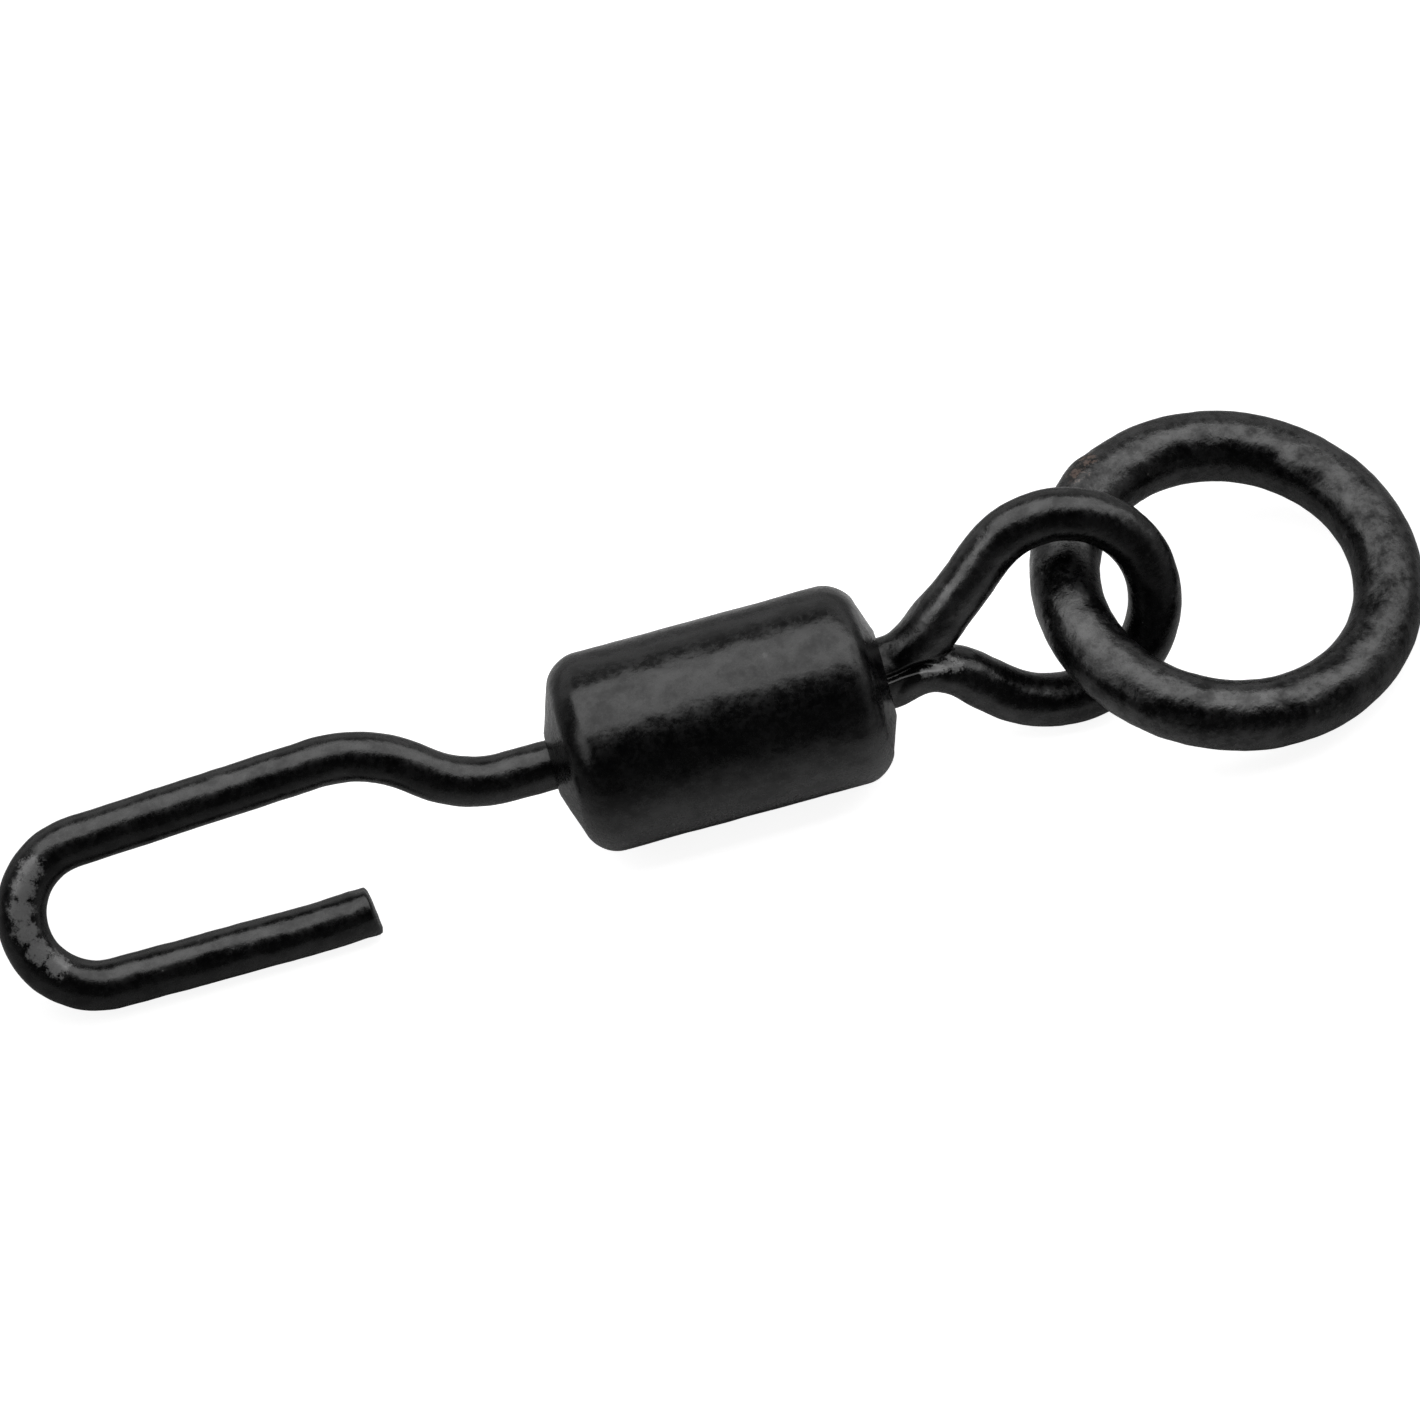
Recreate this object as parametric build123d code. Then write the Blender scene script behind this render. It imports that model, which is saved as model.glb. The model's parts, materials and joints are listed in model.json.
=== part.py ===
from build123d import *
import os
from math import asin, cos, degrees, radians, sin, tan

# A ring swivel: a hook and an eye turn in the two ends of a short barrel, and a solid ring
# hangs in the eye. It lies on its side, as it comes to rest on a table.
# X runs along the barrel, with the ring at +X and the hook at -X. Z is up.
# The hook and the eye are drawn in the XY plane with the barrel's middle at the origin,
# and their +Y side is then turned down towards the table.

# Barrel: a short tube with both ends spun in round the wires
barrel_d = 2.50
barrel_length = 4.26
barrel_wall = 0.32
end_slope = 19
shoulder_r = 0.42
lip_edge = 0.04

# Running clearances inside the barrel, on the radius and along the axis
turn_clear = 0.05
end_clear = 0.05

# Hook: one bent wire, open on the side that lies on the table
hook_wire_d = 0.62
hook_shank = 0.585
step_out_r = 1.50
step_out_angle = 39
step_run = 0.12
step_back_r = 1.76
back_leg = 3.07
back_taper = 2.8
bight_r = 0.93
free_leg = 2.43
tip_length = 0.80
tip_angle = 6.5
hook_head_d = 1.40

# Eye: one wire bent double, with its two legs swaged to one shank where they leave the barrel.
# From the head it runs out along the lower leg, round the loop and back along the upper leg.
eye_wire_d = 0.66
eye_shank_d = 0.90
lower_neck = 0.415
lower_neck_r = 0.84
lower_neck_angle = 43
lower_flank = 0.42
lower_side_angle = 150
lower_side_extra_r = 0.15
upper_side_angle = 115
upper_neck_r = 0.76
swage_length = 0.32
swage_mouth = 47
swage_taper = 0.35
seam_width = 0.10
seam_depth = 0.07
eye_head_d = 1.50

# Heads: both wires are upset inside the barrel
head_rim = 0.34
head_dome = 0.16
head_edge = 0.05

# Ring: a solid ring of round wire, and the play that its tube has in the eye's rounder upper side
ring_inner_d = 3.13
ring_wire_d = 0.87
ring_play = 0.365

# Resting pose: the eye stops just off the table, and the ring lies on the table and on the eye.
# The ring's tube crosses the eye at a slant, so it needs some of its play as room.
eye_rest_gap = 0.05
ring_lean_room = 0.185
ring_seat_angle = 19
ring_heading = -23.1
ring_turn = 26.3

# Sizes that follow from those above
hook_r = hook_wire_d / 2
eye_r = eye_wire_d / 2
ring_tube_r = ring_wire_d / 2
ring_r = ring_inner_d / 2 + ring_tube_r
upper_side_r = ring_tube_r + ring_play + eye_r
lower_side_r = upper_side_r + lower_side_extra_r
shank_r = eye_shank_d / 2
leg_y = shank_r - eye_r
half_length = barrel_length / 2
hook_hole_r = hook_r + turn_clear
eye_hole_r = shank_r + turn_clear


def end_face_x(radius, hole_r, inset):
    """X of the barrel's coned end at a radius, moved in from the outside by an inset."""
    slope = radians(end_slope)
    return half_length - (radius - hole_r) * tan(slope) - inset / cos(slope)


def barrel_section():
    """Half section of the barrel's wall: straight side, coned ends, round shoulders, open at both holes."""
    outer_r = barrel_d / 2
    cavity_r = outer_r - barrel_wall
    section = make_face(Polyline(
        (-end_face_x(hook_hole_r, hook_hole_r, 0), hook_hole_r),
        (-end_face_x(outer_r, hook_hole_r, 0), outer_r),
        (end_face_x(outer_r, eye_hole_r, 0), outer_r),
        (end_face_x(eye_hole_r, eye_hole_r, 0), eye_hole_r),
        (end_face_x(eye_hole_r, eye_hole_r, barrel_wall), eye_hole_r),
        (end_face_x(cavity_r, eye_hole_r, barrel_wall), cavity_r),
        (-end_face_x(cavity_r, hook_hole_r, barrel_wall), cavity_r),
        (-end_face_x(hook_hole_r, hook_hole_r, barrel_wall), hook_hole_r),
        close=True,
    ))
    section = fillet(section.vertices().sort_by(Axis.Y)[-2:], shoulder_r)
    corners = section.vertices().sort_by(Axis.X)
    return chamfer([corners[0], corners[-1]], lip_edge)


def make_barrel():
    return revolve(barrel_section(), Axis.X)


def head_back_x(head_d, hole_r):
    """X of a head's inner rim, where its shank starts."""
    return end_face_x(head_d / 2, hole_r, barrel_wall + end_clear) - head_rim


def make_head(head_d, neck_r, hole_r):
    """Upset head behind the +X hole. Its coned face bears on the barrel's end wall."""
    head_r = head_d / 2
    back_x = head_back_x(head_d, hole_r)
    inset = barrel_wall + end_clear
    dome = TangentArc((back_x - head_dome, 0), (back_x, head_r), tangent=(0, 1))
    outline = Polyline(
        (back_x, head_r),
        (end_face_x(head_r, hole_r, inset), head_r),
        (end_face_x(neck_r, hole_r, inset), neck_r),
        (end_face_x(neck_r, hole_r, inset), 0),
        (back_x - head_dome, 0),
    )
    section = make_face([dome, outline])
    rim = section.vertices().sort_by(Axis.Y)[-2:]
    return revolve(chamfer(rim, head_edge), Axis.X)


def chain(start, steps, heading=(1, 0)):
    """Edges of a bent wire's centreline: straight runs (length, 0) and tangent bends (radius, angle)."""
    edges = []
    point = Vector(*start)
    heading = Vector(*heading)
    for size, angle in steps:
        edge = JernArc(point, heading, size, angle) if angle else Line(point, point + heading * size)
        edges.append(edge)
        point = edge @ 1
        heading = edge % 1
    return edges


def bend_wire(path, radius):
    """Round wire along a centreline."""
    section = Plane(origin=path @ 0, z_dir=path % 0) * Circle(radius)
    return sweep(section, path=path)


def hook_path():
    """Centreline of the hook, drawn towards +X with the free leg on the +Y side."""
    start = head_back_x(hook_head_d, hook_hole_r)
    return Wire(chain((start, 0), [
        (half_length + hook_shank - start, 0),
        (step_out_r, -step_out_angle),
        (step_run, 0),
        (step_back_r, step_out_angle + back_taper),
        (back_leg, 0),
        (bight_r, 180 - back_taper),
        (free_leg, 0),
        (tip_length / radians(tip_angle), tip_angle),
    ]))


def make_hook():
    head = make_head(hook_head_d, hook_r, hook_hole_r)
    wire = bend_wire(hook_path(), hook_r)
    return (wire + head).mirror(Plane.YZ)


def eye_start_x():
    """X at which both legs meet the eye's head."""
    return head_back_x(eye_head_d, eye_hole_r)


def lower_half():
    """Centreline of the lower leg and the lower side of the loop."""
    return chain((eye_start_x(), leg_y), [
        (half_length + lower_neck - eye_start_x(), 0),
        (lower_neck_r, lower_neck_angle),
        (lower_flank, 0),
        (lower_side_r, -lower_side_angle),
    ])


def upper_half(joint):
    """Centreline from the end of the lower side round the upper side and back along the upper leg."""
    side = JernArc(joint @ 1, joint % 1, upper_side_r, -upper_side_angle)
    end = side @ 1
    neck_angle = lower_side_angle + upper_side_angle - lower_neck_angle - 180
    turn = radians(neck_angle)
    flank = (-leg_y - end.Y - upper_neck_r * (1 - cos(turn))) / sin(turn)
    neck_x = end.X - flank * cos(turn) - upper_neck_r * sin(turn)
    return [side] + chain(end, [
        (flank, 0),
        (upper_neck_r, neck_angle),
        (neck_x - eye_start_x(), 0),
    ], side % 1)


def make_shank():
    """Round shank that the two legs are pressed into, tapering off between them."""
    end = half_length + swage_length
    section = make_face(Polyline(
        (eye_start_x(), 0), (eye_start_x(), shank_r), (end, shank_r), (end + swage_taper, leg_y),
        (end + swage_taper, 0), close=True,
    ))
    return revolve(section, Axis.X)


def make_swage():
    """Room round the shank that the press leaves clear of wire, with a coned mouth."""
    end = half_length + swage_length
    mouth_length = upper_side_r
    mouth_depth = mouth_length * tan(radians(swage_mouth))
    section = make_face(Polyline(
        (eye_start_x(), shank_r), (end, shank_r), (end + mouth_length, shank_r + mouth_depth),
        (eye_start_x(), shank_r + mouth_depth), close=True,
    ))
    return revolve(section, Axis.X)


def make_seam():
    """Grooves along both faces of the shank, where the two legs meet."""
    vee = make_face(Polyline(
        (-seam_width / 2, shank_r), (0, shank_r - seam_depth), (seam_width / 2, shank_r),
        (0, shank_r + seam_depth), close=True,
    ))
    across_shank = Plane(origin=(eye_start_x(), 0, 0), x_dir=(0, 1, 0), z_dir=(1, 0, 0))
    groove = extrude(across_shank * vee, half_length + swage_length + swage_taper - eye_start_x())
    return groove + groove.mirror(Plane.XY)


def make_eye():
    lower = lower_half()
    upper = upper_half(lower[-1])
    legs = bend_wire(Wire(lower), eye_r) + bend_wire(Wire(upper), eye_r)
    head = make_head(eye_head_d, shank_r, eye_hole_r)
    return legs - make_swage() + make_shank() - make_seam() + head


def rest_turn(height, reach):
    """Turn about X at which a wire this far from the axis lies at a height below it."""
    return degrees(asin(min(1, height / reach)))


def turned(x, y, turn):
    """Point of the XY plane after its +Y side is turned down."""
    return Vector(x, -y * cos(radians(turn)), -y * sin(radians(turn)))


def ring_plane(seat):
    """Plane of the ring: its tube passes the seat in the eye, and its far side is on the table."""
    turn = radians(ring_turn)
    drop = seat.Z + barrel_d / 2 - ring_tube_r
    lean = asin(drop / (ring_r * (1 + cos(turn))))
    heading = radians(ring_heading)
    normal = Vector(sin(lean) * cos(heading), sin(lean) * sin(heading), cos(lean))
    uphill = Vector(-cos(lean) * cos(heading), -cos(lean) * sin(heading), sin(lean))
    to_seat = uphill * cos(turn) + normal.cross(uphill) * sin(turn)
    return Plane(origin=seat - to_seat * ring_r, x_dir=uphill, z_dir=normal)


def hook_turn():
    """The free leg is the part of the hook that lies furthest to its +Y side."""
    return rest_turn(barrel_d / 2 - hook_r, hook_path().bounding_box().max.Y)


def eye_turn():
    """The eye's lower side is the part of it that reaches furthest to +Y."""
    return rest_turn(barrel_d / 2 - eye_r - eye_rest_gap, Wire(lower_half()).bounding_box().max.Y)


def loop_middle():
    """Middle of the loop's height, half that height back from its tip. The ring swings about it."""
    lower = lower_half()
    box = Wire(lower + upper_half(lower[-1])).bounding_box()
    return Vector(box.max.X - box.size.Y / 2, box.center().Y)


def ring_seat():
    """Point where the middle of the ring's tube passes through the eye."""
    out = ring_play - ring_lean_room
    angle = radians(ring_seat_angle)
    middle = loop_middle()
    return turned(middle.X + out * cos(angle), middle.Y + out * sin(angle), eye_turn())


def pieces_at_rest():
    return {
        "barrel": make_barrel(),
        "hook": make_hook().rotate(Axis.X, 180 + hook_turn()),
        "eye": make_eye().rotate(Axis.X, 180 + eye_turn()),
        "ring": ring_plane(ring_seat()) * Torus(ring_r, ring_tube_r),
    }


def origin_shift(pieces):
    """Move that puts the origin on the table, under the middle of the whole swivel."""
    box = Compound(list(pieces.values())).bounding_box()
    middle = box.center()
    return Location((-middle.X, -middle.Y, -box.min.Z))


def main():
    pieces = pieces_at_rest()
    shift = origin_shift(pieces)
    os.makedirs("parts", exist_ok=True)
    for name, solid in pieces.items():
        export_step(shift * solid, f"parts/{name}.step")


main()
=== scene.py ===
"""Dressed model of a ring swivel: its barrel, hook, eye and ring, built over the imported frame."""

import json
from math import asin, ceil, cos, exp, log, pi, radians, sin, tan

import bmesh
import bpy
from bpy.props import FloatProperty, FloatVectorProperty, PointerProperty
from mathutils import Matrix, Vector, noise


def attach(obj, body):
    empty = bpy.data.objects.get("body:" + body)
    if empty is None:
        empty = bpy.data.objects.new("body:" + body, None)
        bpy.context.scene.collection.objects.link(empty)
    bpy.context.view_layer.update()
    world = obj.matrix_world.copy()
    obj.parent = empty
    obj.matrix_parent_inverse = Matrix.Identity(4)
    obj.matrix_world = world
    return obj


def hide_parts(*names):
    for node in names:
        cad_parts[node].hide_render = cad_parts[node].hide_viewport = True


bl_info = {
    "name": "Ring Swivel",
    "version": (1, 0, 0),
    "blender": (4, 5, 0),
    "location": "3D View > Sidebar > Swivel",
    "description": "Builds the barrel, hook, eye and ring of a ring swivel over its frame",
    "category": "Mesh",
}

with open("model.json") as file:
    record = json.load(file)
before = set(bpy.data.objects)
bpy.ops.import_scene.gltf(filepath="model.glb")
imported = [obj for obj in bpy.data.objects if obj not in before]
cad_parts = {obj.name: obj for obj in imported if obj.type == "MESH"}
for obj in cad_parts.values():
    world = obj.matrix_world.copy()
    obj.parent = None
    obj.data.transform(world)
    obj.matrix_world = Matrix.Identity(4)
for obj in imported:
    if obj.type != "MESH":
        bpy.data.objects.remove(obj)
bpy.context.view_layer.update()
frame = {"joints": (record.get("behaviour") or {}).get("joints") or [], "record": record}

# Drawings are in millimetres, and this makes them metres
MM = 0.001

# Faces round a wire, the length of a face along it, and how near points must be to become one
ROUND_STEPS = 96
WIRE_STEP = 0.045
WELD = 1e-5

# Voxel of the eye's skin, and how far inside the barrel's mouth its legs and shank start
SKIN_VOXEL = 0.019
SHANK_INSIDE = 0.6

# Width and height of the photograph in pixels, and how far the barrel's middle is from its centre
PHOTO_PIXELS = 1420
PIXELS_RIGHT = 8.55
PIXELS_DOWN = 8.8

# Small dents where the eye's neck was crimped, in its drawing: (place, reach, depth)
CRIMP_DENTS = (
    ((2.65, -0.41, -0.22), 0.075, 0.018),
    ((2.40, -0.30, -0.30), 0.075, 0.018),
    ((2.22, -0.42, -0.16), 0.075, 0.018),
)

# Shallow dents of the ring: (degrees round the ring, degrees over its tube, reach, depth)
RING_DENTS = (
    (131.5, 50.0, 0.42, 0.05),
    (168.5, 39.0, 0.24, 0.03),
    (46.0, 128.0, 0.40, 0.035),
    (300.0, 62.0, 0.40, 0.03),
)

# Worn places and painted highlights in the row frame, in metres: (place, radius, colour's name, cover)
# Along the crown of the hook's bend: a pale band painted as a highlight, over a few real scuffs
HOOK_WEAR_AND_HIGHLIGHT = (
    ((-0.00842, -0.00012, 0.00186), 0.00030, "scuff_and_highlight", 2.0),
    ((-0.00857, -0.00026, 0.00168), 0.00030, "scuff_and_highlight", 2.0),
    ((-0.00867, -0.00042, 0.00148), 0.00030, "scuff_and_highlight", 2.0),
    ((-0.00868, -0.00060, 0.00127), 0.00030, "scuff_and_highlight", 2.0),
    ((-0.00859, -0.00076, 0.00105), 0.00030, "scuff_and_highlight", 2.0),
    ((-0.00842, -0.00088, 0.00086), 0.00030, "scuff_and_highlight", 2.0),
)
# On the eye's lower leg beside the crotch: pale patches painted as a highlight
EYE_PAINTED_HIGHLIGHT = (
    ((0.00280, -0.00049, 0.00139), 0.00017, "scuff_and_highlight", 1.5),
    ((0.00292, -0.00047, 0.00137), 0.00017, "scuff_and_highlight", 1.5),
    ((0.00305, -0.00046, 0.00136), 0.00017, "scuff_and_highlight", 1.5),
    ((0.00318, -0.00047, 0.00133), 0.00017, "scuff_and_highlight", 1.5),
)
RING_WEAR = (
    ((0.00523, 0.00148, 0.00184), 0.00028, "worn", 1.1),
    ((0.00540, 0.00168, 0.00180), 0.00028, "worn", 1.1),
    ((0.00449, 0.00030, 0.00185), 0.00024, "scuff_and_highlight", 1.0),
)

# Places rubbed shinier or duller, in the row frame, in metres: (place, radius, added shine)
EYE_POLISH = (
    ((0.00240, -0.00030, 0.00166), 0.00036, -0.42),
    ((0.00292, -0.00019, 0.00189), 0.00036, 0.4),
    ((0.00330, -0.00007, 0.00218), 0.00050, 1.0),
    ((0.00378, 0.00012, 0.00256), 0.00050, 0.7),
)
RING_POLISH = (
    ((0.00845, -0.00070, 0.00095), 0.0017, -0.17),
    ((0.00636, -0.00215, 0.00120), 0.00075, 0.22),
    ((0.00466, -0.00070, 0.00178), 0.00070, 0.16),
)

# How ragged the mottle and the grain make the edge of a worn place and of a painted highlight patch, where
# it starts and its width
MOTTLE_RAGGED = 2.6
GRAIN_RAGGED = 1.6
WEAR_AND_HIGHLIGHT_START = 2.72
WEAR_AND_HIGHLIGHT_EDGE = 0.43

# Shares of the mottle and the grain in the shine beside the swell, and the usual range of their sum
MOTTLE_SHINE = 0.6
GRAIN_SHINE = 0.35
SHINE_RANGE = (0.62, 1.33)

# Usual range of one noise
NOISE_RANGE = (0.3, 0.7)

# Lamps in the row frame, in metres: (name, place, size, power, aim)
LAMPS = (
    ("overhead", (0.045, 0.024, 0.10), (0.25, 0.118), 0.235, (0.045, 0.0, 0.0)),
    ("left side", (-0.088, -0.028, 0.078), (0.07, 0.05), 0.0175, (0.0, 0.0, 0.0)),
    ("right side", (0.180, 0.045, 0.068), (0.09, 0.05), 0.022, (0.0, 0.0, 0.0)),
)


# Settings

def length(name, text, metres):
    return FloatProperty(name=name, description=text, default=metres, min=0.0,
                         precision=5, subtype="DISTANCE", unit="LENGTH")


def angle(name, text, degrees):
    return FloatProperty(name=name, description=text, default=radians(degrees),
                         subtype="ANGLE", unit="ROTATION")


def colour(name, text, value):
    return FloatVectorProperty(name=name, description=text, default=value, size=3,
                               min=0.0, max=1.0, subtype="COLOR")


def share(name, text, value):
    return FloatProperty(name=name, description=text, default=value, min=0.0, subtype="FACTOR")


class BarrelSizes(bpy.types.PropertyGroup):
    """Sizes of the barrel"""
    diameter: length("Diameter", "Outside of the barrel", 0.00250)
    length: length("Length", "Over both coned ends", 0.00426)
    wall: length("Wall", "Thickness of the barrel's wall", 0.00032)
    slope: angle("End slope", "How far the ends fall back from flat", 19)
    shoulder: length("Shoulder", "Radius of the round shoulders", 0.00042)
    lip: length("Lip", "Broken edge round both holes", 0.00004)
    turn_clear: length("Turning room", "Room round each shank in its hole", 0.00005)
    end_clear: length("End room", "Room between each head and the end wall", 0.00005)


class HookSizes(bpy.types.PropertyGroup):
    """Sizes of the hook"""
    wire: length("Wire", "Diameter of the hook's wire", 0.00062)
    shank: length("Shank", "Straight run outside the barrel", 0.000585)
    out_radius: length("Step-out radius", "First bend of the step", 0.00150)
    out_angle: angle("Step-out angle", "Turn of the step's first bend", 39)
    step_run: length("Step run", "Straight between the step's bends", 0.00012)
    back_radius: length("Step-back radius", "Second bend of the step", 0.00176)
    leg: length("Back leg", "Straight run to the bend", 0.00307)
    taper: angle("Taper", "How much the legs spread from parallel", 2.8)
    bend_radius: length("Bend radius", "Centreline radius of the hook's bend", 0.00093)
    free_leg: length("Free leg", "Straight run of the open leg", 0.00243)
    tip: length("Tip", "Length of the gently bent tip", 0.00080)
    tip_angle: angle("Tip angle", "How far the tip bends in", 6.5)
    head: length("Head", "Diameter of the upset head in the barrel", 0.00140)


class EyeSizes(bpy.types.PropertyGroup):
    """Sizes of the eye"""
    wire: length("Wire", "Diameter of the eye's wire", 0.00066)
    shank: length("Shank", "Diameter of the two legs pressed together", 0.00090)
    lower_neck: length("Lower neck", "Barrel's end to the lower leg's bend", 0.000415)
    lower_neck_radius: length("Lower neck radius", "Bend of the lower leg", 0.00084)
    lower_neck_angle: angle("Lower neck angle", "Turn of the lower leg's bend", 43)
    flank: length("Lower flank", "Straight run below the neck", 0.00042)
    lower_radius: length("Lower side radius", "Wide side of the loop", 0.00128)
    lower_angle: angle("Lower side angle", "Turn of the wide side", 150)
    upper_radius: length("Upper side radius", "Close side of the loop", 0.00113)
    upper_angle: angle("Upper side angle", "Turn of the close side", 115)
    upper_neck_radius: length("Upper neck radius", "Bend of the upper leg", 0.00076)
    swage: length("Swage", "Pressed length outside the barrel", 0.00032)
    mouth: angle("Swage mouth", "Half angle of the press's coned mouth", 47)
    swage_taper: length("Shank taper", "Where the shank tapers off between the legs", 0.00035)
    seam_width: length("Seam width", "Width of the groove between the legs at the barrel", 0.00013)
    seam_depth: length("Seam depth", "Depth of the groove between the legs at the barrel", 0.00009)
    seam_spread: share("Seam spread", "How much wider and deeper the groove gets towards the crotch", 0.35)
    twist: angle("Twist", "How far the swage has turned the legs round the shank", 14)
    kink: length("Kink", "How far the neck is bent up between barrel and crotch", 0.000065)
    head: length("Head", "Diameter of the upset head in the barrel", 0.00150)


class HeadSizes(bpy.types.PropertyGroup):
    """Sizes that both heads share"""
    rim: length("Rim", "Depth of a head's straight rim", 0.00034)
    dome: length("Dome", "Height of a head's domed inner face", 0.00016)


class RingSizes(bpy.types.PropertyGroup):
    """Sizes of the ring"""
    inner: length("Hole", "Inside diameter of the ring", 0.00313)
    wire: length("Wire", "Diameter of the ring's wire", 0.00087)


class CoatingLook(bpy.types.PropertyGroup):
    """The black coating and its wear"""
    black: colour("Coating", "Colour of the coating", (0.0005, 0.0005, 0.0006))
    pale: colour("Mottle", "Colour of the coating's paler specks", (0.0024, 0.0024, 0.0026))
    worn: colour("Wear", "Brownish metal where the coating is rubbed through", (0.060, 0.038, 0.029))
    # Grey of real scuffs, also painted on the hook's bend and the eye's lower leg as a highlight
    scuff_and_highlight: colour("Scuff", "Grey where the coating is scuffed", (0.125, 0.125, 0.125))
    speck: colour("Speck", "Grey of the few pale specks", (0.035, 0.035, 0.035))
    roughness: share("Roughness", "Mean roughness of the coating", 0.26)
    grain: length("Grain", "Size of the finest speckle", 0.000022)
    mottle: length("Mottle size", "Size of the mottled patches", 0.000075)
    swell: length("Swell size", "Size of the broad unevenness", 0.00026)
    grain_height: length("Grain height", "Height of the finest speckle", 0.0000016)
    mottle_height: length("Mottle height", "Height of the mottled patches", 0.0000050)
    swell_height: length("Swell height", "Height of the broad unevenness", 0.0000120)
    speck_spacing: length("Speck spacing", "Distance between the few pale specks", 0.0008)


class StageLook(bpy.types.PropertyGroup):
    """Floor, light and camera"""
    # The floor's two colours paint a pool of light round the barrel that fades to a darker floor further
    # out
    floor: colour("Floor", "Colour of the floor under the barrel", (0.62, 0.62, 0.62))
    floor_beyond_painted_pool: colour("Floor further out", "Colour of the floor away from the barrel", (0.20, 0.20, 0.20))
    painted_pool_reach: length("Floor reach", "How far from its middle the floor's near colour fades out", 0.010)
    glow: share("Floor glow", "Light that the floor adds towards the camera", 0.9)
    room_behind: colour("Room behind", "Light from low down behind the swivel", (0.60, 0.60, 0.60))
    room_beside: colour("Room elsewhere", "Light from low down on the other sides", (0.06, 0.06, 0.06))
    room_above: colour("Room above", "Light from higher up", (0.012, 0.012, 0.012))
    elevation: angle("Camera elevation", "How far the camera looks down", 52)
    roll: angle("Camera roll", "How far the picture is turned", 15.3)
    width: length("Picture width", "Width of the picture at the barrel", 0.017395)
    distance: length("Camera distance", "From the lens to the barrel", 0.30)


class SwivelSettings(bpy.types.PropertyGroup):
    """Everything that can be changed on the swivel"""
    barrel: PointerProperty(type=BarrelSizes)
    hook: PointerProperty(type=HookSizes)
    eye: PointerProperty(type=EyeSizes)
    heads: PointerProperty(type=HeadSizes)
    ring: PointerProperty(type=RingSizes)
    coating: PointerProperty(type=CoatingLook)
    stage: PointerProperty(type=StageLook)


# Places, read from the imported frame

def joint_named(name):
    return next(joint for joint in frame["joints"] if joint["name"] == name)


def mount_named(name):
    return next(mount for mount in frame["record"]["mounts"] if mount["name"] == name)


def barrel_middle():
    left = Vector(joint_named("hook_spin")["pos_m"])
    right = Vector(joint_named("eye_spin")["pos_m"])
    return (left + right) / 2


def place(origin, x_axis, z_axis):
    """Matrix that sets a drawing in millimetres down in the row frame."""
    x_axis, z_axis = Vector(x_axis).normalized(), Vector(z_axis).normalized()
    turn = Matrix((x_axis, z_axis.cross(x_axis), z_axis)).transposed().to_4x4()
    return Matrix.Translation(origin) @ turn @ Matrix.Scale(MM, 4)


# Drawing with a point or a ring of edges that is carried along a chain of runs and bends

def advance(bm, tip, step):
    """Extrudes the tip once and moves its new copy by a matrix."""
    edges = [item for item in tip if isinstance(item, bmesh.types.BMEdge)]
    if edges:
        made = bmesh.ops.extrude_edge_only(bm, edges=edges)["geom"]
    else:
        made = bmesh.ops.extrude_vert_indiv(bm, verts=tip)["verts"]
    verts = [item for item in made if isinstance(item, bmesh.types.BMVert)]
    bmesh.ops.transform(bm, matrix=step, verts=verts)
    if not edges:
        return verts
    fresh = set(verts)
    return [item for item in made if isinstance(item, bmesh.types.BMEdge) and set(item.verts) <= fresh]


def heading(turn):
    return Vector((cos(turn), sin(turn), 0.0))


def draw(bm, tip, start, turn, moves):
    """Carries the tip along runs (length, 0) and bends (radius, angle). Returns tip, point and turn."""
    point = Vector((*start, 0.0))
    for size, bend in moves:
        if bend:
            side = 1 if bend > 0 else -1
            centre = point + heading(turn + side * pi / 2) * size
            count = ceil(size * abs(bend) / WIRE_STEP)
            move = (Matrix.Translation(centre) @ Matrix.Rotation(bend / count, 4, "Z")
                    @ Matrix.Translation(-centre))
            point = centre + Matrix.Rotation(bend, 3, "Z") @ (point - centre)
            turn += bend
        else:
            count = ceil(size / WIRE_STEP)
            move = Matrix.Translation(heading(turn) * size / count)
            point = point + heading(turn) * size
        for _ in range(count):
            tip = advance(bm, tip, move)
    return tip, point, turn


def wire_ring(bm, start, turn, radius):
    """A round section of wire standing across its centreline."""
    stand = (Matrix.Translation((*start, 0.0)) @ Matrix.Rotation(turn, 4, "Z")
             @ Matrix.Rotation(pi / 2, 4, "Y"))
    verts = bmesh.ops.create_circle(bm, segments=ROUND_STEPS, radius=radius, matrix=stand)["verts"]
    ring = set(verts)
    return [edge for edge in bm.edges if set(edge.verts) <= ring]


def close_ring(bm, ring):
    """Closes an open end with a flat face cut into triangles round its middle."""
    made = bmesh.ops.contextual_create(bm, geom=ring)["faces"]
    bmesh.ops.poke(bm, faces=made)


def spin_round(bm, verts, edges, steps):
    """Spins a half section once round the X axis."""
    bmesh.ops.spin(bm, geom=verts + edges, cent=(0, 0, 0), axis=(1, 0, 0),
                   angle=2 * pi, steps=steps, use_merge=True)


def unevenness(bm, size, height, seed):
    """Pushes the surface in and out a little, as a tumbled and coated part is."""
    smoothness, lacunarity, octaves = 0.9, 2.0, 3
    bm.normal_update()
    offset = Vector((seed, 0.0, -seed))
    for vert in bm.verts:
        lift = noise.fractal(vert.co / size + offset, smoothness, lacunarity, octaves)
        vert.co += vert.normal * height * lift


def dent(bm, spot, reach, depth):
    """Presses the surface in round a spot, or lifts it where the depth is negative."""
    bm.normal_update()
    spot = Vector(spot)
    for vert in bm.verts:
        near = 1 - (vert.co - spot).length_squared / reach ** 2
        if near > 0:
            vert.co -= vert.normal * depth * near ** 2


def smooth_share(value):
    value = min(1.0, max(0.0, value))
    return value * value * (3 - 2 * value)


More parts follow.
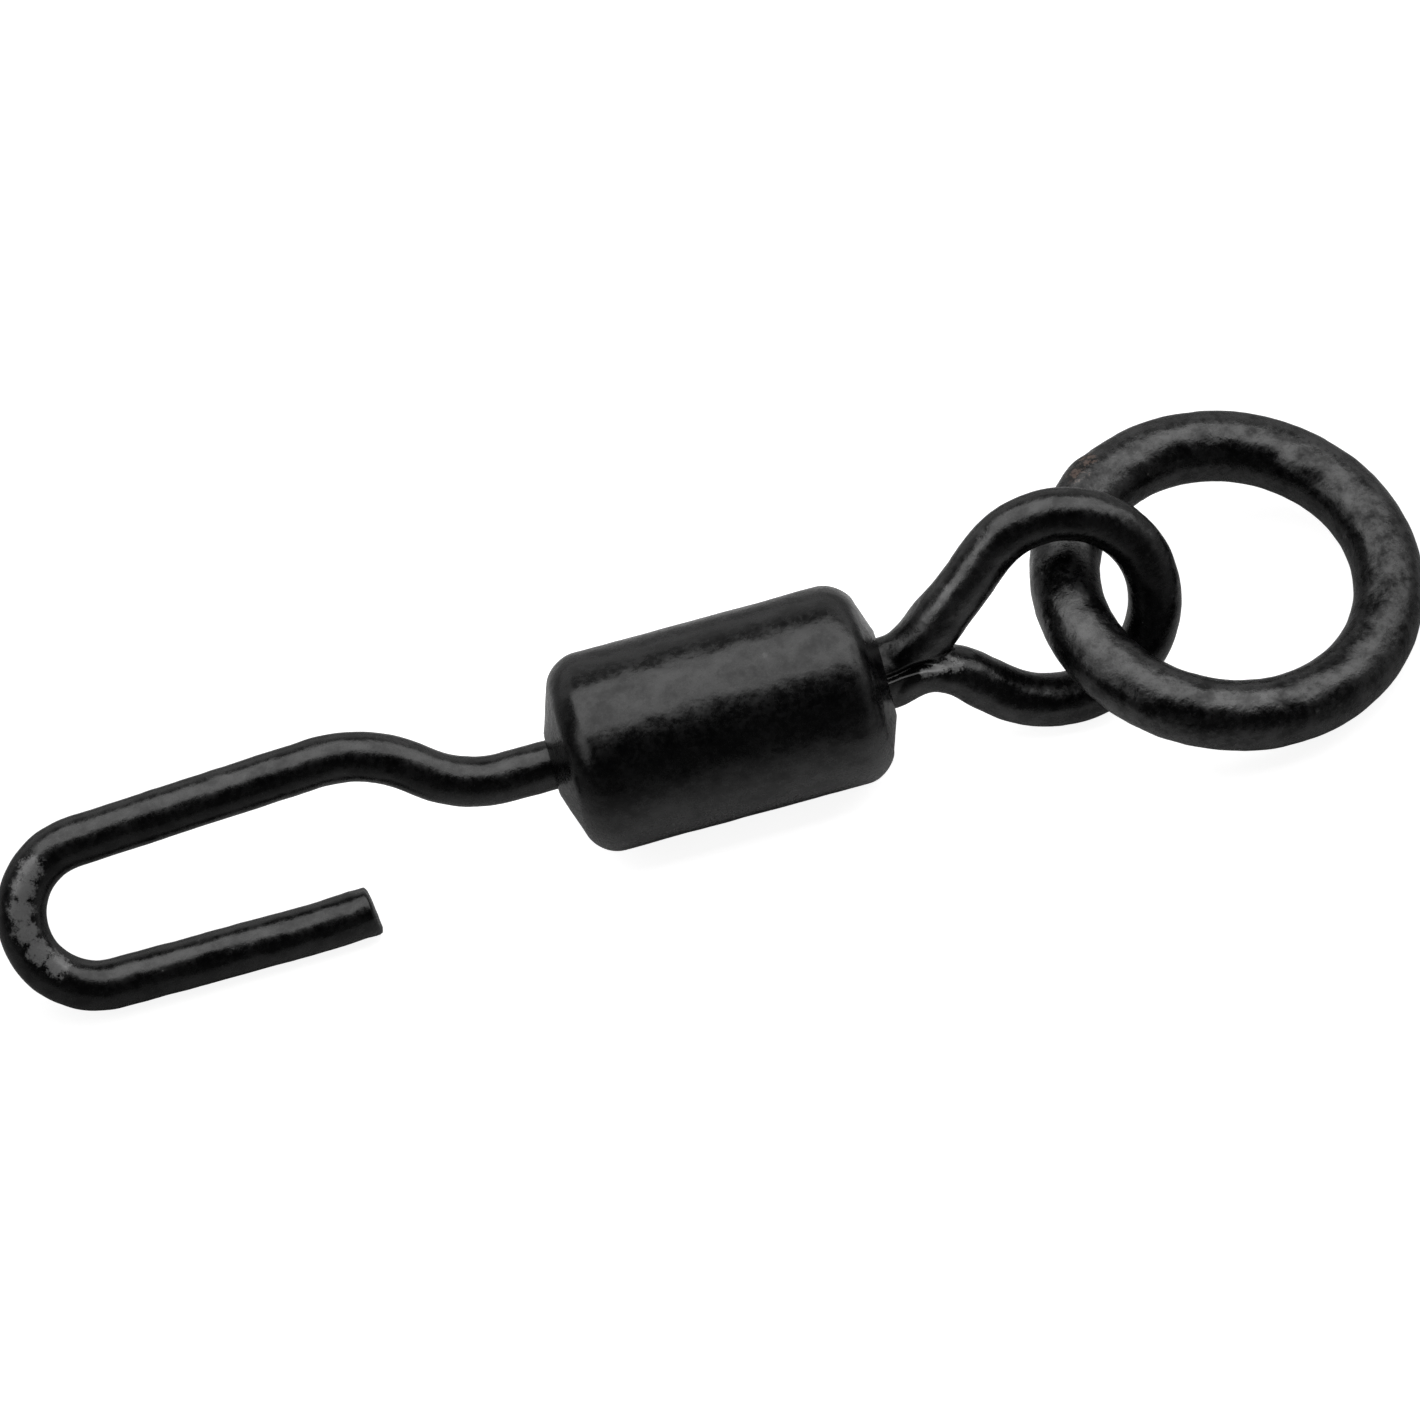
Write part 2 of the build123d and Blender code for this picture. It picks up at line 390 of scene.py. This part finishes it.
def finish_piece(bm, name, material, matrix, body, node):
    """Sets a drawing down in the row frame as a piece that stands for a node."""
    bmesh.ops.remove_doubles(bm, verts=bm.verts, dist=WELD)
    bmesh.ops.recalc_face_normals(bm, faces=bm.faces)
    bmesh.ops.transform(bm, matrix=matrix, verts=bm.verts)
    mesh = bpy.data.meshes.new(name)
    bm.to_mesh(mesh)
    bm.free()
    mesh.shade_smooth()
    mesh.materials.append(material)
    piece = bpy.data.objects.new(name, mesh)
    bpy.context.scene.collection.objects.link(piece)
    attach(piece, body)
    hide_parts(node)


# Barrel, heads and shanks share the coned ends

def end_face_x(sizes, radius, hole_r, inset):
    """X of the barrel's coned end at a radius, moved in from the outside by an inset."""
    half = sizes.length / MM / 2
    return half - (radius - hole_r) * tan(sizes.slope) - inset / cos(sizes.slope)


def hole_radius(settings, shank_r):
    return shank_r + settings.barrel.turn_clear / MM


def barrel_section(bm, settings):
    """Half section of the barrel's wall as a ring of edges."""
    sizes = settings.barrel
    outer_r, wall = sizes.diameter / MM / 2, sizes.wall / MM
    inner_r = outer_r - wall
    hook_r = hole_radius(settings, settings.hook.wire / MM / 2)
    eye_r = hole_radius(settings, settings.eye.shank / MM / 2)
    corners = [
        (-end_face_x(sizes, hook_r, hook_r, 0), hook_r),
        (-end_face_x(sizes, outer_r, hook_r, 0), outer_r),
        (end_face_x(sizes, outer_r, eye_r, 0), outer_r),
        (end_face_x(sizes, eye_r, eye_r, 0), eye_r),
        (end_face_x(sizes, eye_r, eye_r, wall), eye_r),
        (end_face_x(sizes, inner_r, eye_r, wall), inner_r),
        (-end_face_x(sizes, inner_r, hook_r, wall), inner_r),
        (-end_face_x(sizes, hook_r, hook_r, wall), hook_r),
    ]
    verts = [bm.verts.new((x, y, 0.0)) for x, y in corners]
    for index, vert in enumerate(verts):
        bm.edges.new((vert, verts[(index + 1) % len(verts)]))
    reach = sizes.shoulder / MM * tan((pi / 2 - sizes.slope) / 2)
    bmesh.ops.bevel(bm, geom=[verts[1], verts[2]], offset=reach, offset_type="OFFSET", segments=14,
                    profile=0.5, affect="VERTICES", material=-1)
    bmesh.ops.bevel(bm, geom=[verts[0], verts[3]], offset=sizes.lip / MM, offset_type="OFFSET",
                    segments=3, profile=0.5, affect="VERTICES", material=-1)
    for edge in list(bm.edges):
        cuts = ceil(edge.calc_length() / WIRE_STEP) - 1
        if cuts:
            bmesh.ops.subdivide_edges(bm, edges=[edge], cuts=cuts)


def head_shell(bm, settings, head_d, neck_r):
    """Spins up an upset head behind the +X hole, open where its shank starts. Returns that X."""
    sizes, hole_r = settings.barrel, hole_radius(settings, neck_r)
    head_r, rim, dome = head_d / 2, settings.heads.rim / MM, settings.heads.dome / MM
    inset = (sizes.wall + sizes.end_clear) / MM
    rim_x = end_face_x(sizes, head_r, hole_r, inset)
    neck_x = end_face_x(sizes, neck_r, hole_r, inset)
    dome_r = (head_r ** 2 + dome ** 2) / (2 * dome)
    start = (rim_x - rim - dome, 0.0)
    before = set(bm.verts)
    tip = [bm.verts.new((*start, 0.0))]
    tip, _, _ = draw(bm, tip, start, pi / 2, [(dome_r, -asin(head_r / dome_r))])
    tip, _, _ = draw(bm, tip, (rim_x - rim, head_r), 0.0, [(rim, 0)])
    for share_in in (1 / 3, 2 / 3, 1):
        x, y = rim_x + (neck_x - rim_x) * share_in, head_r + (neck_r - head_r) * share_in
        tip = advance(bm, tip, Matrix.Translation(Vector((x, y, 0.0)) - tip[0].co))
    verts = [vert for vert in bm.verts if vert not in before]
    edges = [edge for edge in bm.edges if edge.verts[0] not in before]
    spin_round(bm, verts, edges, ROUND_STEPS)
    bmesh.ops.remove_doubles(bm, verts=[v for v in bm.verts if v not in before], dist=WELD)
    return neck_x


def open_edges(bm):
    return [edge for edge in bm.edges if edge.is_boundary]


# Materials

def add_node(tree, kind, inputs=(), **values):
    """A node with some of its settings and sockets filled in."""
    node = tree.nodes.new(kind)
    for key, value in values.items():
        setattr(node, key, value)
    for key, value in dict(inputs).items():
        if isinstance(value, bpy.types.NodeSocket):
            tree.links.new(value, node.inputs[key])
        else:
            node.inputs[key].default_value = value
    return node


def speckle(tree, place_socket, size, detail, rough):
    """Noise whose features have a size in metres."""
    return add_node(tree, "ShaderNodeTexNoise", {
        "Vector": place_socket, "Scale": 1 / size, "Detail": detail, "Roughness": rough,
    }).outputs["Fac"]


def graded(tree, value, low, high, to_low=0.0, to_high=1.0):
    return add_node(tree, "ShaderNodeMapRange", {
        "Value": value, "From Min": low, "From Max": high, "To Min": to_low, "To Max": to_high,
    }, interpolation_type="SMOOTHSTEP").outputs["Result"]


def blended(tree, share_socket, first, second):
    """One colour mixed into another. Sockets 6 and 7 of the mix node are its two colours."""
    mix = add_node(tree, "ShaderNodeMix", data_type="RGBA")
    for key, value in ((0, share_socket), (6, first), (7, second)):
        if isinstance(value, bpy.types.NodeSocket):
            tree.links.new(value, mix.inputs[key])
        else:
            mix.inputs[key].default_value = (*value, 1.0)
    return mix.outputs[2]


def near_place(tree, place_socket, point, radius):
    """1 at a point, falling to 0 at a radius."""
    away = add_node(tree, "ShaderNodeVectorMath", {0: place_socket, 1: point}, operation="DISTANCE")
    return graded(tree, away.outputs["Value"], 0.0, radius, 1.0, 0.0)


def times_plus(tree, value, factor, added):
    """A value times a factor, and something added."""
    return add_node(tree, "ShaderNodeMath", {0: value, 1: factor, 2: added},
                    operation="MULTIPLY_ADD").outputs[0]


def pale_specks(tree, spot, look):
    """Few specks, with outlines pushed about by noise. Their radii are shares of their spacing."""
    push_reach = look.mottle * 1.5
    full_radius, outer_radius, cover = 0.02, 0.07, 0.8
    wander = add_node(tree, "ShaderNodeTexNoise", {"Vector": spot, "Scale": 1 / look.mottle})
    push = add_node(tree, "ShaderNodeVectorMath", {0: wander.outputs["Color"], "Scale": push_reach},
                    operation="SCALE")
    shifted = add_node(tree, "ShaderNodeVectorMath", {0: spot, 1: push.outputs["Vector"]},
                       operation="ADD")
    cells = add_node(tree, "ShaderNodeTexVoronoi", {
        "Vector": shifted.outputs["Vector"], "Scale": 1 / look.speck_spacing})
    return graded(tree, cells.outputs["Distance"], full_radius, outer_radius, cover, 0.0)


def make_coating(name, look, relief_shares, shine_level, shine_change, worn=(), polished=()):
    """Semi-matte black coating. Its relief takes a share each of the grain, the mottle and the swell."""
    material = bpy.data.materials.new(name)
    material.use_nodes = True
    tree = material.node_tree
    shader = tree.nodes["Principled BSDF"]
    spot = add_node(tree, "ShaderNodeTexCoord").outputs["Object"]
    grain = speckle(tree, spot, look.grain, 3.0, 0.6)
    mottle = speckle(tree, spot, look.mottle, 4.0, 0.6)
    swell = speckle(tree, spot, look.swell, 3.0, 0.5)

    base = blended(tree, graded(tree, grain, 0.56, 0.74), look.black, look.pale)
    base = blended(tree, pale_specks(tree, spot, look), base, look.speck)
    edge = times_plus(tree, grain, GRAIN_RAGGED, times_plus(tree, mottle, MOTTLE_RAGGED, 0.0))
    # Worn places: real wear on the ring and real scuffs, and pale patches painted as highlights on the
    # hook's bend and the eye's lower leg
    for point, radius, colour_name, cover in worn:
        ragged = times_plus(tree, near_place(tree, spot, point, radius), cover, edge)
        there = graded(tree, ragged, WEAR_AND_HIGHLIGHT_START, WEAR_AND_HIGHLIGHT_START + WEAR_AND_HIGHLIGHT_EDGE * cover)
        base = blended(tree, there, base, getattr(look, colour_name))
    tree.links.new(base, shader.inputs["Base Color"])

    rough = add_node(tree, "ShaderNodeMath", {
        0: graded(tree, mottle, *NOISE_RANGE, look.roughness * 0.82, look.roughness * 1.22),
        1: graded(tree, swell, *NOISE_RANGE, 0.88, 1.15),
    }, operation="MULTIPLY")
    tree.links.new(rough.outputs[0], shader.inputs["Roughness"])

    shine = times_plus(tree, grain, GRAIN_SHINE, times_plus(tree, mottle, MOTTLE_SHINE, swell))
    shine = graded(tree, shine, *SHINE_RANGE, shine_level - shine_change, shine_level + shine_change)
    for point, radius, added in polished:
        shine = times_plus(tree, near_place(tree, spot, point, radius), added, shine)
    tree.links.new(shine, shader.inputs["Specular IOR Level"])

    relief = 0.0
    heights = (look.grain_height, look.mottle_height, look.swell_height)
    for pattern, height, part in zip((grain, mottle, swell), heights, relief_shares):
        relief = times_plus(tree, pattern, height * part, relief)
    bump = add_node(tree, "ShaderNodeBump", {"Height": relief, "Distance": 1.0, "Strength": 1.0})
    tree.links.new(bump.outputs["Normal"], shader.inputs["Normal"])
    return material


# Operators

class SWIVEL_OT_barrel(bpy.types.Operator):
    """Build the barrel"""
    bl_idname = "swivel.barrel"
    bl_label = "Barrel"

    def execute(self, context):
        settings = context.scene.swivel
        bm = bmesh.new()
        barrel_section(bm, settings)
        spin_round(bm, list(bm.verts), list(bm.edges), ROUND_STEPS * 2)
        unevenness(bm, size=0.5, height=0.006, seed=3.1)
        coating = make_coating("barrel coating", settings.coating, relief_shares=(0.2, 0.10, 0.9),
                               shine_level=0.43, shine_change=0.14)
        finish_piece(bm, "coned_barrel", coating,
                     place(barrel_middle(), (1, 0, 0), (0, 0, 1)), "barrel", "barrel")
        return {"FINISHED"}


class SWIVEL_OT_hook(bpy.types.Operator):
    """Build the hook"""
    bl_idname = "swivel.hook"
    bl_label = "Hook"

    def execute(self, context):
        settings = context.scene.swivel
        sizes = settings.hook
        wire_r = sizes.wire / MM / 2
        bm = bmesh.new()
        neck_x = head_shell(bm, settings, sizes.head / MM, wire_r)
        half = settings.barrel.length / MM / 2
        tip, point, turn = draw(bm, open_edges(bm), (neck_x, 0.0), 0.0, [
            (half + sizes.shank / MM - neck_x, 0),
            (sizes.out_radius / MM, -sizes.out_angle),
            (sizes.step_run / MM, 0),
            (sizes.back_radius / MM, sizes.out_angle + sizes.taper),
            (sizes.leg / MM, 0),
            (sizes.bend_radius / MM, pi - sizes.taper),
            (sizes.free_leg / MM, 0),
            (sizes.tip / MM / sizes.tip_angle, sizes.tip_angle),
        ])
        self.shear_end(bm, tip, point, turn, wire_r)
        unevenness(bm, size=0.35, height=0.006, seed=7.7)
        coating = make_coating("hook coating", settings.coating, relief_shares=(0.7, 0.5, 0.9),
                               shine_level=0.5, shine_change=0.18, worn=HOOK_WEAR_AND_HIGHLIGHT)
        plane = mount_named("hook_bend")["axis"]
        finish_piece(bm, "bent_hook", coating,
                     place(barrel_middle(), (-1, 0, 0), plane), "hook", "hook")
        return {"FINISHED"}

    def shear_end(self, bm, tip, middle, turn, wire_r):
        """Closes the free end as cutters leave it: a broken edge, a flat face and a small burr."""
        along = heading(turn)
        for further, narrower in ((0.03, 0.97), (0.02, 0.86), (0.012, 0.55)):
            step = (Matrix.Translation(middle + along * further) @ Matrix.Scale(narrower, 4)
                    @ Matrix.Translation(-middle))
            tip = advance(bm, tip, step)
            middle = middle + along * further
        close_ring(bm, tip)
        across = Matrix.Rotation(pi / 2, 3, "Z") @ along * wire_r
        rim = middle - along * 0.06
        dent(bm, rim + across, reach=0.2, depth=-0.035)
        dent(bm, rim - across, reach=0.2, depth=0.02)


class SWIVEL_OT_eye(bpy.types.Operator):
    """Build the eye, its two legs swaged into one shank"""
    bl_idname = "swivel.eye"
    bl_label = "Eye"

    def execute(self, context):
        settings = context.scene.swivel
        bm = bmesh.new()
        self.draw_wire(bm, settings)
        self.draw_shank(bm, settings)
        bm = self.merge(bm)
        self.press_seam(bm, settings)
        self.twist_neck(bm, settings)
        self.kink_neck(bm, settings)
        unevenness(bm, size=0.35, height=0.006, seed=1.3)
        for spot, reach, depth in CRIMP_DENTS:
            dent(bm, spot, reach, depth)
        head_shell(bm, settings, settings.eye.head / MM, settings.eye.shank / MM / 2)
        close_ring(bm, open_edges(bm))
        coating = make_coating("eye coating", settings.coating, relief_shares=(0.8, 0.6, 1.0),
                               shine_level=0.5, shine_change=0.2, worn=EYE_PAINTED_HIGHLIGHT, polished=EYE_POLISH)
        plane = -Vector(joint_named("ring_swing")["axis"])
        finish_piece(bm, "swaged_eye", coating,
                     place(barrel_middle(), (1, 0, 0), plane), "eye", "eye")
        return {"FINISHED"}

    def shank_start(self, settings):
        return settings.barrel.length / MM / 2 - SHANK_INSIDE

    def draw_wire(self, bm, settings):
        """The whole wire, out along the lower leg and back along the upper one."""
        sizes = settings.eye
        wire_r = sizes.wire / MM / 2
        leg_y = sizes.shank / MM / 2 - wire_r
        half = settings.barrel.length / MM / 2
        start = self.shank_start(settings)
        first = wire_ring(bm, (start, leg_y), 0.0, wire_r)
        tip, end, turn = draw(bm, first, (start, leg_y), 0.0, [
            (half + sizes.lower_neck / MM - start, 0),
            (sizes.lower_neck_radius / MM, sizes.lower_neck_angle),
            (sizes.flank / MM, 0),
            (sizes.lower_radius / MM, -sizes.lower_angle),
            (sizes.upper_radius / MM, -sizes.upper_angle),
        ])
        back = sizes.lower_angle + sizes.upper_angle - sizes.lower_neck_angle - pi
        neck_r = sizes.upper_neck_radius / MM
        flank = (-leg_y - end.y - neck_r * (1 - cos(back))) / sin(back)
        neck_x = end.x - flank * cos(back) - neck_r * sin(back)
        tip, _, _ = draw(bm, tip, end.xy, turn, [
            (flank, 0), (neck_r, back), (neck_x - start, 0),
        ])
        close_ring(bm, first)
        close_ring(bm, tip)
        self.press(bm, settings)

    def press(self, bm, settings):
        """Squeezes the legs into the swage's round shank and its coned mouth."""
        sizes = settings.eye
        shank_r = sizes.shank / MM / 2
        end = settings.barrel.length / MM / 2 + sizes.swage / MM
        soft = 0.08
        for vert in bm.verts:
            past = (vert.co.x - end) / soft
            # Far out both are equal, and exp would grow too large
            flare = past if past > 20 else log(1 + exp(past))
            room = shank_r + flare * soft * tan(sizes.mouth)
            out = vert.co.yz.length
            if vert.co.x < end + sizes.upper_radius / MM and out > room:
                vert.co.yz *= room / out

    def draw_shank(self, bm, settings):
        """Round shank between the legs, tapering off at the crotch."""
        sizes = settings.eye
        shank_r = sizes.shank / MM / 2
        leg_y = shank_r - sizes.wire / MM / 2
        mouth_x = settings.barrel.length / MM / 2
        start = self.shank_start(settings)
        first = wire_ring(bm, (start, 0.0), 0.0, shank_r)
        inside, outside = 0.12, 0.08
        tip, _, _ = draw(bm, first, (start, 0.0), 0.0, [(mouth_x - inside - start, 0)])
        x, radius = mouth_x - inside, shank_r
        for further, narrower in ((inside + outside, 0.84), (sizes.swage / MM - outside, 0.68),
                                  (sizes.swage_taper / MM, leg_y / shank_r)):
            shrink = (Matrix.Translation((x + further, 0.0, 0.0))
                      @ Matrix.Scale(shank_r * narrower / radius, 4) @ Matrix.Translation((-x, 0.0, 0.0)))
            tip = advance(bm, tip, shrink)
            x, radius = x + further, shank_r * narrower
        close_ring(bm, first)
        close_ring(bm, tip)

    def merge(self, bm):
        """Runs the legs and the shank together into one skin."""
        bmesh.ops.recalc_face_normals(bm, faces=bm.faces)
        mesh = bpy.data.meshes.new("eye draft")
        bm.to_mesh(mesh)
        bm.free()
        draft = bpy.data.objects.new("eye draft", mesh)
        bpy.context.scene.collection.objects.link(draft)
        remesh = draft.modifiers.new("skin", "REMESH")
        remesh.mode = "VOXEL"
        remesh.voxel_size = SKIN_VOXEL
        view = draft.evaluated_get(bpy.context.evaluated_depsgraph_get())
        skin = bpy.data.meshes.new_from_object(view)
        merged = bmesh.new()
        merged.from_mesh(skin)
        bpy.data.objects.remove(draft)
        bpy.data.meshes.remove(mesh)
        bpy.data.meshes.remove(skin)
        for _ in range(4):
            bmesh.ops.smooth_vert(merged, verts=merged.verts, factor=0.5,
                                  use_axis_x=True, use_axis_y=True, use_axis_z=True)
        return merged

    def press_seam(self, bm, settings):
        """Presses the groove between the legs into both faces of the shank; it opens towards the crotch."""
        sizes = settings.eye
        shank_r = sizes.shank / MM / 2
        mouth_x = settings.barrel.length / MM / 2
        opens_over, end_x, fades_over = 0.8, 3.0, 0.5
        for vert in bm.verts:
            opened = 1 + sizes.seam_spread * smooth_share((vert.co.x - mouth_x) / opens_over)
            width, depth = sizes.seam_width / MM / 2 * opened, sizes.seam_depth / MM * opened
            fade = smooth_share((end_x - vert.co.x) / fades_over)
            near = smooth_share(1 - abs(vert.co.y) / width) * fade
            if near > 0 and abs(vert.co.z) > shank_r / 3:
                vert.co.z -= (1 if vert.co.z > 0 else -1) * depth * near

    def twist_neck(self, bm, settings):
        """Turns the pressed legs round the shank's axis, most at the barrel and not at all at the loop."""
        mouth_x = settings.barrel.length / MM / 2
        fades_over = 0.7
        for vert in bm.verts:
            turn = settings.eye.twist * smooth_share(1 - (vert.co.x - mouth_x) / fades_over)
            vert.co = Matrix.Rotation(-turn, 3, "X") @ vert.co

    def kink_neck(self, bm, settings):
        """Lifts the neck a little between the barrel and the crotch, as the legs were bent apart."""
        mouth_x = settings.barrel.length / MM / 2
        neck_length = 0.92
        upwards = Vector((0.0, -0.906, 0.423))
        for vert in bm.verts:
            along = (vert.co.x - mouth_x) / neck_length
            if 0 < along < 1:
                vert.co += upwards * settings.eye.kink / MM * sin(pi * along) ** 2


class SWIVEL_OT_ring(bpy.types.Operator):
    """Build the ring"""
    bl_idname = "swivel.ring"
    bl_label = "Ring"

    def execute(self, context):
        settings = context.scene.swivel
        sizes = settings.ring
        wire_r = sizes.wire / MM / 2
        ring_r = sizes.inner / MM / 2 + wire_r
        bm = bmesh.new()
        first = wire_ring(bm, (0.0, -ring_r), 0.0, wire_r)
        verts = list(dict.fromkeys(vert for edge in first for vert in edge.verts))
        bmesh.ops.spin(bm, geom=verts + first, cent=(0, 0, 0), axis=(0, 0, 1),
                       angle=2 * pi, steps=ROUND_STEPS * 3, use_merge=True)
        unevenness(bm, size=0.35, height=0.007, seed=5.9)
        unevenness(bm, size=0.09, height=0.0012, seed=2.2)
        for place_round, place_over, reach, depth in RING_DENTS:
            out = heading(radians(place_round))
            over = radians(place_over)
            spot = out * (ring_r + wire_r * cos(over)) + Vector((0.0, 0.0, wire_r * sin(over)))
            dent(bm, spot, reach, depth)
        coating = make_coating("ring coating", settings.coating, relief_shares=(1.5, 0.75, 1.5),
                               shine_level=0.5, shine_change=0.33, worn=RING_WEAR, polished=RING_POLISH)
        throat = mount_named("ring_throat")
        normal = Vector(throat["axis"])
        level = Vector((1, 0, 0)) - normal * normal.x
        finish_piece(bm, "solid_ring", coating, place(throat["pos_m"], level, normal), "ring", "ring")
        return {"FINISHED"}


class SWIVEL_OT_stage(bpy.types.Operator):
    """Set up the floor, the light and the camera"""
    bl_idname = "swivel.stage"
    bl_label = "Stage"

    def execute(self, context):
        look = context.scene.swivel.stage
        self.lay_floor(look)
        self.light_world(context.scene, look)
        for lamp in LAMPS:
            self.hang_light(*lamp)
        self.set_camera(context.scene, look)
        context.scene.view_settings.view_transform = "Standard"
        return {"FINISHED"}

    def lay_floor(self, look):
        """A floor that looks nearly white to the camera. Its colour holds a painted pool of light round the
        barrel, and further out it is darker and throws little light back.
        """
        bm = bmesh.new()
        bmesh.ops.create_grid(bm, x_segments=1, y_segments=1, size=0.6)
        mesh = bpy.data.meshes.new("floor")
        bm.to_mesh(mesh)
        bm.free()
        floor = bpy.data.objects.new("floor", mesh)
        bpy.context.scene.collection.objects.link(floor)
        material = bpy.data.materials.new("floor")
        material.use_nodes = True
        tree = material.node_tree
        shader = tree.nodes["Principled BSDF"]
        spot = add_node(tree, "ShaderNodeTexCoord").outputs["Object"]
        # Painted pool of light: the floor's colour is paler round the barrel and darker further out
        middle = (0.0015, 0.0, 0.0)
        near = near_place(tree, spot, middle, look.painted_pool_reach)
        tree.links.new(blended(tree, near, look.floor_beyond_painted_pool, look.floor), shader.inputs["Base Color"])
        shader.inputs["Roughness"].default_value = 0.9
        shader.inputs["Specular IOR Level"].default_value = 0.1
        shader.inputs["Emission Color"].default_value = (1.0, 1.0, 1.0, 1.0)
        seen = add_node(tree, "ShaderNodeLightPath").outputs["Is Camera Ray"]
        glow = add_node(tree, "ShaderNodeMath", {0: seen, 1: look.glow}, operation="MULTIPLY").outputs[0]
        tree.links.new(glow, shader.inputs["Emission Strength"])
        mesh.materials.append(material)

    def light_world(self, scene, look):
        """White where the camera sees it; the light it gives is pale low down behind and dark elsewhere."""
        world = bpy.data.worlds.new("studio")
        world.use_nodes = True
        tree = world.node_tree
        seen = add_node(tree, "ShaderNodeLightPath").outputs["Is Camera Ray"]
        way = add_node(tree, "ShaderNodeTexCoord").outputs["Generated"]
        height = add_node(tree, "ShaderNodeSeparateXYZ", {"Vector": way}).outputs["Z"]
        straight_behind = (0.45, 0.89, 0.0)
        behind = add_node(tree, "ShaderNodeVectorMath", {0: way, 1: straight_behind},
                          operation="DOT_PRODUCT").outputs["Value"]
        low_down = graded(tree, height, 0.30, 0.70, 1.0, 0.0)
        wall = blended(tree, graded(tree, behind, -0.3, 0.6), look.room_beside, look.room_behind)
        surroundings = blended(tree, low_down, look.room_above, wall)
        shade = blended(tree, seen, surroundings, (1.0, 1.0, 1.0))
        tree.links.new(shade, tree.nodes["Background"].inputs["Color"])
        scene.world = world

    def hang_light(self, name, spot, size, power, aim):
        data = bpy.data.lights.new(name, "AREA")
        data.shape = "RECTANGLE"
        data.size, data.size_y = size
        data.energy = power
        lamp = bpy.data.objects.new(name, data)
        lamp.location = spot
        lamp.rotation_euler = (Vector(aim) - Vector(spot)).to_track_quat("-Z", "Y").to_euler()
        bpy.context.scene.collection.objects.link(lamp)

    def set_camera(self, scene, look):
        """The photograph's view: the barrel's middle falls a little right of and below the centre."""
        up, back = sin(look.elevation), cos(look.elevation)
        level = Vector((1.0, 0.0, 0.0))
        rise = Vector((0.0, up, back))
        across = level * cos(look.roll) - rise * sin(look.roll)
        upright = level * sin(look.roll) + rise * cos(look.roll)
        towards = Vector((0.0, -back, up))
        pixel = look.width / PHOTO_PIXELS
        aim = barrel_middle() - across * PIXELS_RIGHT * pixel + upright * PIXELS_DOWN * pixel
        data = bpy.data.cameras.new("camera")
        data.sensor_width = 36.0
        data.lens = data.sensor_width * look.distance / look.width
        data.clip_start, data.clip_end = 0.01, 10.0
        camera = bpy.data.objects.new("camera", data)
        turn = Matrix((across, upright, towards)).transposed().to_4x4()
        camera.matrix_world = Matrix.Translation(aim + towards * look.distance) @ turn
        scene.collection.objects.link(camera)
        scene.camera = camera


class SWIVEL_PT_panel(bpy.types.Panel):
    """Lists the swivel's pieces and its sizes"""
    bl_idname = "SWIVEL_PT_panel"
    bl_label = "Ring Swivel"
    bl_space_type = "VIEW_3D"
    bl_region_type = "UI"
    bl_category = "Swivel"

    def draw(self, context):
        for operator in PIECE_OPERATORS + (SWIVEL_OT_stage,):
            self.layout.operator(operator.bl_idname)
        settings = context.scene.swivel
        for part in ("barrel", "hook", "eye", "heads", "ring", "coating", "stage"):
            group = getattr(settings, part)
            box = self.layout.box()
            box.label(text=part.title())
            for name in group.__annotations__:
                box.prop(group, name)


PIECE_OPERATORS = (SWIVEL_OT_barrel, SWIVEL_OT_hook, SWIVEL_OT_eye, SWIVEL_OT_ring)
CLASSES = (
    BarrelSizes, HookSizes, EyeSizes, HeadSizes, RingSizes, CoatingLook, StageLook,
    SwivelSettings, *PIECE_OPERATORS, SWIVEL_OT_stage, SWIVEL_PT_panel,
)


def register():
    for each in CLASSES:
        bpy.utils.register_class(each)
    bpy.types.Scene.swivel = PointerProperty(type=SwivelSettings)


def unregister():
    del bpy.types.Scene.swivel
    for each in reversed(CLASSES):
        bpy.utils.unregister_class(each)


def main():
    register()
    bpy.ops.swivel.barrel()
    bpy.ops.swivel.hook()
    bpy.ops.swivel.eye()
    bpy.ops.swivel.ring()
    bpy.ops.swivel.stage()


if __name__ == "__main__":
    main()
